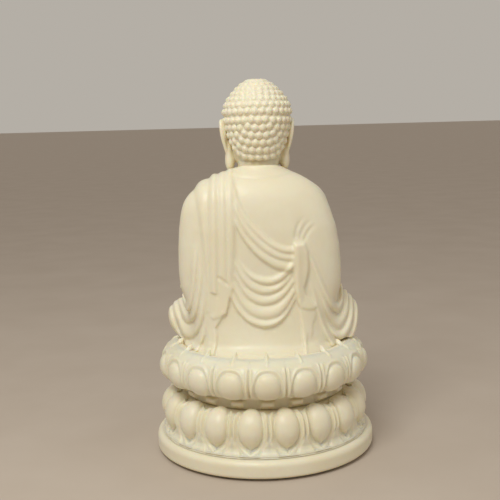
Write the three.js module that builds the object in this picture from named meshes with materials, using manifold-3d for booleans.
/*
 * Seated Buddha on a double lotus pedestal, built from joined blocks, 200 mm tall.
 *
 * Millimetres, +Z up. The figure faces -Y, its left side is +X, and the origin is the centre of
 * the underside. A steel tie rod on the Z axis clamps the pedestal's discs to the figure. The
 * figure is split as joined-block carvings are: front and back of the trunk, two hips, a knee
 * block, two sleeves, two hands and a head that plugs into the collar.
 */
import * as THREE from 'three';
import { mergeVertices } from 'three/addons/utils/BufferGeometryUtils.js';
import Module from 'manifold-3d';

const wasm = await Module();
wasm.setup();

// Driving dimensions
const HEIGHT = 200;
const PLINTH_RADIUS = 60;
const PETALS = 18;
const GAP = 0.3;
const ROD_RADIUS = 3;
const ROD_HOLE = ROD_RADIUS + GAP;

// Levels of the joints, from the felt up to the crown
const FELT_TOP = 1;
const PLINTH_TOP = 11.5;
const LOWER_TIER_TOP = 31.7;
const WAIST_TOP = LOWER_TIER_TOP + GAP + 6;
const SEAT_TOP = 56;
const PETAL_CREST = 60.6;
const THIGH_TOP = 82;
const ROD_TOP = 74;
const NECK_BASE = 144;
const COLLAR_TOP = 154;
const CROWN = 192;

// Joint planes and sockets of the figure
const TRUNK_SPLIT = 5;
const KNEE_SPLIT = -16;
const SEAT_RADIUS = 43.7;
const SLEEVE_END = 18;
const SHAWL_THICKNESS = 1.8;
const HAND_LEVEL = 76.6;
const HAND_THICKNESS = 4.6;
const NECK = { y: 3, halfWidth: 11.2, halfDepth: 9.5 };
const JOINT_EXTENT = 80;

const PITCH = (2 * Math.PI) / PETALS;
const DEGREE = Math.PI / 180;

const resin = { color: '#e6dbbd', roughness: 0.42, metalness: 0 };
const steel = { color: '#a7a9ab', roughness: 0.35, metalness: 1 };
const felt = { color: '#6f6a58', roughness: 0.95, metalness: 0 };

// ---------------------------------------------------------------- geometry helpers

/** Moves every vertex of a geometry with a function that changes the point it is given. */
function reshape(geometry, move) {
  const position = geometry.attributes.position;
  const point = new THREE.Vector3();
  for (let i = 0; i < position.count; i += 1) {
    point.fromBufferAttribute(position, i);
    move(point);
    position.setXYZ(i, point.x, point.y, point.z);
  }
  return geometry;
}

/** Turns a closed geometry into a solid that can be joined and cut. */
function toSolid(geometry) {
  const bare = geometry.clone();
  bare.deleteAttribute('normal');
  bare.deleteAttribute('uv');
  const merged = mergeVertices(bare, 1e-4);
  const corners = [];
  const index = merged.index.array;
  for (let i = 0; i < index.length; i += 3) {
    const [a, b, c] = index.slice(i, i + 3);
    if (a !== b && b !== c && a !== c) {
      corners.push(a, b, c);
    }
  }
  const vertProperties = new Float32Array(merged.attributes.position.array);
  const triVerts = new Uint32Array(corners);
  return new wasm.Manifold(new wasm.Mesh({ numProp: 3, vertProperties, triVerts }));
}

function toGeometry(solid) {
  const { vertProperties, triVerts } = solid.getMesh();
  const geometry = new THREE.BufferGeometry();
  geometry.setAttribute('position', new THREE.BufferAttribute(vertProperties, 3));
  geometry.setIndex(new THREE.BufferAttribute(triVerts, 1));
  geometry.computeVertexNormals();
  return geometry;
}

/** A turned shape about the Z axis, from [radius, height] points. */
function turned(profile, sides = 48) {
  const points = profile.map(([radius, z]) => new THREE.Vector2(radius, z));
  return new THREE.LatheGeometry(points, sides).rotateX(Math.PI / 2);
}

/** A turned shape with a hole for the tie rod, from the outer points given bottom to top. */
function drilled(outer, sides = 48) {
  const bottom = outer[0][1];
  const top = outer[outer.length - 1][1];
  return turned([[ROD_HOLE, bottom], ...outer, [ROD_HOLE, top], [ROD_HOLE, bottom]], sides);
}

/** Raises evenly spaced ribs on a drilled disc. Each outer point is [radius, height, rise]. */
function ribbed(outer, { halfWidth, flank, offset }) {
  const ribSides = 4;
  const sides = PETALS * ribSides;
  const angles = [-halfWidth, halfWidth, halfWidth + flank, PITCH - halfWidth - flank];
  const bare = drilled(outer, sides);
  const rises = new Map(outer.map(([, z, rise]) => [Math.fround(z), rise]));
  return reshape(bare, (point) => {
    const radius = Math.hypot(point.x, point.y);
    const step = Math.round((Math.atan2(point.x, point.y) / (2 * Math.PI)) * sides + sides) % sides;
    const angle = offset + Math.floor(step / ribSides) * PITCH + angles[step % ribSides];
    const onRib = step % ribSides < 2 && radius > ROD_HOLE + GAP;
    const reach = radius + (onRib ? rises.get(Math.fround(point.z)) : 0);
    point.x = reach * Math.sin(angle);
    point.y = reach * Math.cos(angle);
  });
}

/** A closed body through rounded sections, each [height, x low, x high, y low, y high]. */
function loft(sections, { sides = 24, squareness = 2.4, grow = 0 } = {}) {
  const rings = sections.map((section, index) => [1, index]);
  const body = turned([[0, 0], ...rings, [0, sections.length - 1]], sides);
  const spread = (value) => Math.sign(value) * Math.abs(value) ** (2 / squareness);
  return reshape(body, (point) => {
    const [z, xLow, xHigh, yLow, yHigh] = sections[Math.round(point.z)];
    const halfWidth = (xHigh - xLow) / 2 + grow;
    const halfDepth = (yHigh - yLow) / 2 + grow;
    point.x = (xLow + xHigh) / 2 + halfWidth * spread(point.x);
    point.y = (yLow + yHigh) / 2 + halfDepth * spread(point.y);
    point.z = z;
  });
}

/** A rectangular block between two corners. */
function block(low, high) {
  const [width, depth, height] = high.map((value, axis) => value - low[axis]);
  const middle = high.map((value, axis) => (value + low[axis]) / 2);
  return toSolid(new THREE.BoxGeometry(width, depth, height).translate(...middle));
}

function ellipsoid(radii, centre, { sides = 12, rows = 8 } = {}) {
  return toSolid(new THREE.SphereGeometry(1, sides, rows).scale(...radii).translate(...centre));
}

/** A round bar along Z, or along X when it is laid on its side. */
function bar(radius, low, high, { sides = 16, alongX = false, centre = [0, 0] } = {}) {
  const geometry = new THREE.CylinderGeometry(radius, radius, high - low, sides);
  const middle = (high + low) / 2;
  if (alongX) {
    geometry.rotateZ(Math.PI / 2).translate(middle, ...centre);
  } else {
    geometry.rotateX(Math.PI / 2).translate(...centre, middle);
  }
  return toSolid(geometry);
}

/** Keeps the half of a solid on one side of a joint plane, half a gap clear of it. */
function halfOf(solid, axis, level, side) {
  const low = [-JOINT_EXTENT, -JOINT_EXTENT, -HEIGHT];
  const high = [JOINT_EXTENT, JOINT_EXTENT, 2 * HEIGHT];
  if (side > 0) {
    low[axis] = level + GAP / 2;
  } else {
    high[axis] = level - GAP / 2;
  }
  return solid.intersect(block(low, high));
}

const X = 0;
const Y = 1;
const Z = 2;

function piece(name, solid, finish) {
  const mesh = new THREE.Mesh(toGeometry(solid), new THREE.MeshStandardMaterial(finish));
  mesh.name = name;
  return mesh;
}

// ---------------------------------------------------------------- pedestal

// Each point of a tier is [radius, height, rise of the small petals between the large ones].
const LOWER_TIER = [
  [52, PLINTH_TOP + GAP, 4.5],
  [52, 14, 3.6],
  [51.2, 18, 2.6],
  [51.8, 24, 2.4],
  [49.5, 29, 1.5],
  [45, LOWER_TIER_TOP, 0],
];
const UPPER_TIER = [
  [46, WAIST_TOP + GAP, 0],
  [51.5, 41, 1.5],
  [54, 46, 2.6],
  [53.4, 51, 2.6],
  [50.8, 54.6, 2],
  [46.4, 56.4, 1.2],
  [44, SEAT_TOP, 0],
];
const SMALL_PETAL = { halfWidth: 1.25 * DEGREE, flank: 0.45 * DEGREE };

function baseFelt() {
  const radius = PLINTH_RADIUS - 3;
  return toSolid(turned([[0, 0], [radius, 0], [radius, FELT_TOP], [0, FELT_TOP]]));
}

/** The round foot, with a counterbore underneath for the nut and washer. */
function plinth() {
  const bottom = FELT_TOP + GAP;
  const counterbore = { radius: 11, top: 8.9 };
  return toSolid(turned([
    [counterbore.radius, bottom],
    [PLINTH_RADIUS - 1.2, bottom],
    [PLINTH_RADIUS, bottom + 1.3],
    [PLINTH_RADIUS, 8],
    [PLINTH_RADIUS - 1.2, 10.2],
    [PLINTH_RADIUS - 4, 11.2],
    [PLINTH_RADIUS - 6, PLINTH_TOP],
    [ROD_HOLE, PLINTH_TOP],
    [ROD_HOLE, counterbore.top],
    [counterbore.radius, counterbore.top],
    [counterbore.radius, bottom],
  ]));
}

function lowerLotusCore() {
  return toSolid(ribbed(LOWER_TIER, { ...SMALL_PETAL, offset: 0 }));
}

function upperLotusCore() {
  return toSolid(ribbed(UPPER_TIER, { ...SMALL_PETAL, offset: PITCH / 2 }));
}

/** The waist between the two tiers, with one lug under each upper petal. */
function waistRing() {
  const bottom = LOWER_TIER_TOP + GAP;
  const outer = [
    [44, bottom, 0],
    [45, bottom + 1, 1.6],
    [45, WAIST_TOP - 1, 1.6],
    [44, WAIST_TOP, 0],
  ];
  return toSolid(ribbed(outer, { halfWidth: 4 * DEGREE, flank: 0.6 * DEGREE, offset: 0 }));
}

/**
 * One petal, centred on +Y and standing a gap off its tier. Each section is
 * [radius, height, half width, thickness, height of the midrib].
 */
function petal(sections) {
  const across = 4;
  const along = sections.length - 1;
  const edgeShare = 0.35;
  const sheet = new THREE.BoxGeometry(2, 1, along, across, 1, along);
  return toSolid(reshape(sheet, (point) => {
    const index = Math.round(point.z + along / 2);
    const [radius, z, halfWidth, thickness, rib] = sections[index];
    const before = sections[Math.max(index - 1, 0)];
    const after = sections[Math.min(index + 1, along)];
    const slope = Math.atan2(after[1] - before[1], after[0] - before[0]);
    const crown = edgeShare + (1 - edgeShare) * (1 - point.x ** 2);
    const ridge = Math.abs(point.x) < 0.1 ? rib : 0;
    const lift = GAP + (point.y + 0.5) * (thickness * crown + ridge);
    const angle = (point.x * halfWidth) / radius;
    const reach = radius + lift * Math.sin(slope);
    point.set(reach * Math.sin(angle), reach * Math.cos(angle), z - lift * Math.cos(slope));
  }));
}

/** Petals of the upper tier stand up and roll inwards to a point with a sharp midrib. */
function upperPetal() {
  return petal([
    [47.5, 39.03, 5.3, 1.2, 0],
    [51.5, 41, 7.2, 3, 0],
    [54, 46, 7.5, 3.6, 0],
    [53.4, 51, 7.3, 3.2, 0],
    [50.8, 54.6, 5.3, 2.8, 0.5],
    [46.6, 56.4, 0.7, 2.2, 0.9],
  ]);
}

/** Petals of the lower tier hang down and flick outwards at a pointed tip. */
function lowerPetal() {
  return petal([
    [52, 14, 0.7, 2.4, 0.6],
    [51.2, 18, 5.7, 3, 0.4],
    [51.8, 24, 7.2, 3.7, 0],
    [49.5, 29, 6.9, 2.8, 0],
    [46.8, 30.6, 5.3, 1, 0],
  ]);
}

/** A full ring of separate petals, turned into place one pitch apart. */
function petalRing(prefix, solid, offset) {
  const ring = new THREE.Group();
  for (let i = 0; i < PETALS; i += 1) {
    const mesh = piece(`${prefix}_${String(i + 1).padStart(2, '0')}`, solid, resin);
    mesh.rotation.z = offset + i * PITCH;
    ring.add(mesh);
  }
  return ring;
}

/** M6 rod with its washer and nut, all inside the plinth's counterbore and the discs above. */
function tieRod() {
  return bar(ROD_RADIUS, 1.5, ROD_TOP);
}

function washer() {
  const ring = { inner: ROD_HOLE, outer: 9, bottom: 7, top: 8.6 };
  return bar(ring.outer, ring.bottom, ring.top, { sides: 24 })
    .subtract(bar(ring.inner, ring.bottom - 1, ring.top + 1));
}

function nut() {
  const cornerRadius = 5.77;
  return bar(cornerRadius, 1.7, 6.7, { sides: 6 }).subtract(bar(ROD_HOLE, 1, 7));
}

function pedestal() {
  const group = new THREE.Group();
  group.add(piece('base_felt', baseFelt(), felt));
  group.add(piece('plinth', plinth(), resin));
  group.add(piece('lower_lotus_core', lowerLotusCore(), resin));
  group.add(petalRing('lower_petal', lowerPetal(), PITCH / 2));
  group.add(piece('waist_ring', waistRing(), resin));
  group.add(piece('upper_lotus_core', upperLotusCore(), resin));
  group.add(petalRing('upper_petal', upperPetal(), 0));
  group.add(piece('tie_rod', tieRod(), steel));
  group.add(piece('tie_rod_washer', washer(), steel));
  group.add(piece('tie_rod_nut', nut(), steel));
  return group;
}

// ---------------------------------------------------------------- trunk and lap

const FIGURE_BASE = SEAT_TOP + GAP;

// The robe flares at the back, where it spreads over the seat.
const TRUNK = [
  [FIGURE_BASE, -32, 32, -14, 38],
  [59, -32, 32, -14, 35.6],
  [62, -32, 32, -14, 33.4],
  [66, -32, 32, -14, 31.4],
  [70, -31.5, 31.5, -14.3, 30],
  [75, -30.5, 30.5, -14.7, 29],
  [81, -30, 30, -15.2, 28.2],
  [92, -29, 29, -16, 27.2],
  [108, -30, 30, -15.5, 27.2],
  [122, -32.5, 32.5, -15.5, 27],
  [133, -33.5, 33.5, -14.5, 25.6],
  [140, -31, 31, -13, 23.2],
  [145, -26, 26, -11.5, 20.8],
  [149, -18.5, 18.5, -9.5, 18],
  [152, -14.5, 14.5, -8.3, 15.8],
  [COLLAR_TOP, -12.6, 12.6, -7.6, 14.2],
];

const NECK_DOWEL = { radius: 2.5, low: 134, high: 156 };
const ARM_DOWEL = { radius: 2, inner: 24, outer: 36.5, centre: [10, 131] };

function armDowel(side, clearance = 0) {
  const ends = [ARM_DOWEL.inner - clearance, ARM_DOWEL.outer + clearance].map((x) => x * side);
  const radius = ARM_DOWEL.radius + clearance;
  const laid = { alongX: true, centre: ARM_DOWEL.centre, sides: 12 };
  return bar(radius, Math.min(...ends), Math.max(...ends), laid);
}

function neckDowel(clearance = 0) {
  const { radius, low, high } = NECK_DOWEL;
  return bar(radius + clearance, low - clearance, high + clearance, { sides: 12 });
}

/** The trunk under the robe, with its neck socket, dowel holes and the tie rod's blind hole. */
function trunk() {
  const { y, halfWidth, halfDepth } = NECK;
  const socket = loft([
    [NECK_BASE, -halfWidth, halfWidth, y - halfDepth, y + halfDepth],
    [HEIGHT, -halfWidth, halfWidth, y - halfDepth, y + halfDepth],
  ], { squareness: 2, grow: GAP });
  return toSolid(loft(TRUNK))
    .subtract(toSolid(socket))
    .subtract(bar(ROD_HOLE, 0, ROD_TOP + GAP))
    .subtract(neckDowel(GAP))
    .subtract(armDowel(1, GAP))
    .subtract(armDowel(-1, GAP));
}

/** Everything that the trunk keeps clear of its neighbours. */
function trunkClearance() {
  return toSolid(loft(TRUNK, { grow: GAP }));
}

/**
 * The crossed legs under the robe, before they are split into a knee block and two hips. The
 * right shin lies on the left one, so that the right knee reaches a little further out.
 */
function lap() {
  const legs = loft([
    [FIGURE_BASE, -46, 43, -41, 31],
    [60, -50, 46.4, -43, 28],
    [65, -52, 48, -44, 24.5],
    [70, -52, 48, -43.5, 22],
    [75, -50.5, 46.5, -41.5, 19],
    [79, -47.5, 44, -38, 16],
    [THIGH_TOP, -43, 41, -33, 13],
  ], { sides: 32 });
  const petalClearance = turned([
    [SEAT_RADIUS, SEAT_TOP - 1],
    [JOINT_EXTENT, SEAT_TOP - 1],
    [JOINT_EXTENT, PETAL_CREST],
    [SEAT_RADIUS, PETAL_CREST],
    [SEAT_RADIUS, SEAT_TOP - 1],
  ]);
  const handHollow = loft([
    [HAND_LEVEL - GAP, -16, 16, -36, -23],
    [HAND_LEVEL + 1, -SLEEVE_END, SLEEVE_END, -37.8, -21.2],
    [THIGH_TOP, -20, 20, -40, -19],
  ], { sides: 16, grow: GAP });
  return halfOf(toSolid(legs), Z, THIGH_TOP, -1)
    .subtract(toSolid(petalClearance))
    .subtract(toSolid(handHollow))
    .subtract(trunkClearance());
}

function hip(legs, side) {
  return halfOf(halfOf(legs, Y, KNEE_SPLIT, 1), X, side * SLEEVE_END, side);
}

/**
 * A wide sleeve that falls from the shoulder, with the forearm laid towards the lap. The left one
 * is fuller, because the end of the robe is thrown over that shoulder.
 */
function sleeve(side) {
  const fall = [
    [THIGH_TOP, 20, 39.4, -18, 19],
    [88, 20, 40.6, -19, 21],
    [98, 20, 42, -18, 22.5],
    [112, 20, 41.8, -15, 23],
    [123, 20, 41.3, -13, 22.5],
    [132, 20, 39.3, -11.5, 21.5],
    [139, 20, 36, -10, 19],
    [143.5, 20, 32, -8, 16],
    [146, 22, 28, -4, 12],
  ];
  const shawl = side > 0 ? SHAWL_THICKNESS : 0;
  const mirrored = fall.map(([z, near, far, front, back]) => {
    const ends = [near * side, (far + shawl) * side].sort((a, b) => a - b);
    return [z, ...ends, front, back];
  });
  const forearm = new THREE.SphereGeometry(1, 12, 8)
    .scale(8.5, 19, 9.5)
    .rotateZ(-side * 40 * DEGREE)
    .translate(side * 27, -21, 89);
  const whole = toSolid(loft(mirrored, { squareness: 2.6 })).add(toSolid(forearm));
  const trimmed = halfOf(halfOf(whole, Z, THIGH_TOP, 1), X, side * SLEEVE_END, side);
  return trimmed.subtract(trunkClearance()).subtract(armDowel(side, GAP));
}

/** An open hand laid palm up across the lap with its fingers together. */
function palm(level) {
  const length = SLEEVE_END - GAP;
  return toSolid(loft([
    [level, -length + 2, length - 2, -36, -23],
    [level + 1.6, -length, length, -37.5, -21.5],
    [level + 3.4, -length, length, -37, -22],
    [level + HAND_THICKNESS, -length + 2.5, length - 2.5, -35, -24],
  ], { sides: 16 }));
}

function leftHand() {
  return palm(HAND_LEVEL);
}

/** The right hand lies in the left one and carries the raised, meeting thumbs. */
function rightHand() {
  const level = HAND_LEVEL + HAND_THICKNESS + GAP;
  const thumbs = [1, -1].map((side) => toSolid(new THREE.SphereGeometry(1, 10, 6)
    .scale(7, 2, 2)
    .rotateY(side * 20 * DEGREE)
    .translate(side * 6, -23.4, level + HAND_THICKNESS)));
  return palm(level).add(thumbs[0]).add(thumbs[1]);
}

// ---------------------------------------------------------------- head

const HAIRLINE = { y: -16.5, z: 186.5 };
const NAPE = { y: 10, z: 157.5 };

const SKULL = [
  [155.5, -7, 7, -13.5, 4],
  [158.5, -11, 11, -15.8, 10],
  [163, -14, 14, -17, 13],
  [169, -15.8, 15.8, -17.6, 15],
  [176, -16.4, 16.4, -17.6, 16],
  [183, -16, 16, -16.6, 16],
  [188, -14, 14, -14, 14],
  [193, -9, 9, -8, 10],
];
const HAIR = [
  [155, -11.5, 11.5, -12, 13],
  [161, -14.6, 14.6, -15, 16],
  [167, -16.8, 16.8, -17.4, 17.6],
  [173, -18.2, 18.2, -18.2, 18.6],
  [180, -19, 19, -18.6, 19],
  [186, -17.6, 17.6, -17, 18.4],
  [190, -15.4, 15.4, -14, 16.5],
  [CROWN, -14, 14, -12, 15],
];

/** A large block on the hair side (1) or the face side (-1) of the slanted hairline joint. */
function hairlineSide(side) {
  const tilt = Math.atan2(HAIRLINE.z - NAPE.z, NAPE.y - HAIRLINE.y);
  const reach = HEIGHT / 2;
  const slab = new THREE.BoxGeometry(2 * reach, 2 * reach, reach)
    .translate(0, 0, side * (reach + GAP) / 2)
    .rotateX(-tilt)
    .translate(0, (HAIRLINE.y + NAPE.y) / 2, (HAIRLINE.z + NAPE.z) / 2);
  return toSolid(slab);
}

/** A long-lobed ear that leans outwards at the top. */
function ear(side) {
  const shell = new THREE.SphereGeometry(1, 10, 8)
    .scale(2.4, 4.2, 13.2)
    .rotateY(side * 5 * DEGREE)
    .translate(side * 17, 1, 165.6);
  return toSolid(shell);
}

function neck() {
  const { y, halfWidth, halfDepth } = NECK;
  const section = [-halfWidth, halfWidth, y - halfDepth, y + halfDepth];
  return toSolid(loft([[NECK_BASE + GAP, ...section], [162, ...section]], { squareness: 2 }));
}

const JEWEL = { radius: 2, centre: [0, -14, 190] };

/** A small round bead, or the pocket that it is set in when a clearance is given. */
function bead({ radius, centre }, clearance = 0) {
  const size = radius + clearance;
  return ellipsoid([size, size, size], centre, { sides: 8, rows: 6 });
}

function head() {
  return toSolid(loft(SKULL))
    .add(neck())
    .intersect(hairlineSide(-1))
    .add(ear(1))
    .add(ear(-1))
    .subtract(neckDowel(GAP));
}

function hairCap() {
  const earRoom = [1, -1].map((side) => {
    const [near, far] = [14.2 * side, 30 * side].sort((a, b) => a - b);
    return block([near, -4, 140], [far, 6, 180]);
  });
  return toSolid(loft(HAIR))
    .intersect(hairlineSide(1))
    .subtract(earRoom[0])
    .subtract(earRoom[1])
    .subtract(bead(JEWEL, GAP));
}

function topknot() {
  const dome = loft([
    [CROWN + GAP, -12.6, 12.6, -9, 14],
    [194.5, -11.9, 11.9, -8.4, 13.4],
    [197, -9.6, 9.6, -6.4, 11.2],
    [199, -6, 6, -3, 7.6],
    [HEIGHT, -2, 2, 0.8, 4],
  ], { squareness: 2 });
  return toSolid(dome).subtract(bead(JEWEL, GAP));
}

// ---------------------------------------------------------------- assembly

function figure() {
  const core = trunk();
  const legs = lap();
  const group = new THREE.Group();
  group.add(piece('torso_front', halfOf(core, Y, TRUNK_SPLIT, -1), resin));
  group.add(piece('torso_back', halfOf(core, Y, TRUNK_SPLIT, 1), resin));
  group.add(piece('knee_block', halfOf(legs, Y, KNEE_SPLIT, -1), resin));
  group.add(piece('left_hip', hip(legs, 1), resin));
  group.add(piece('right_hip', hip(legs, -1), resin));
  group.add(piece('left_sleeve', sleeve(1), resin));
  group.add(piece('right_sleeve', sleeve(-1), resin));
  group.add(piece('left_hand', leftHand(), resin));
  group.add(piece('right_hand', rightHand(), resin));
  group.add(piece('head', head(), resin));
  group.add(piece('hair_cap', hairCap(), resin));
  group.add(piece('topknot', topknot(), resin));
  group.add(piece('topknot_jewel', bead(JEWEL), resin));
  group.add(piece('neck_dowel', neckDowel(), steel));
  group.add(piece('left_arm_dowel', armDowel(1), steel));
  group.add(piece('right_arm_dowel', armDowel(-1), steel));
  return group;
}

const statue = new THREE.Group();
statue.name = 'seated_buddha';
statue.add(pedestal(), figure());

export default statue;
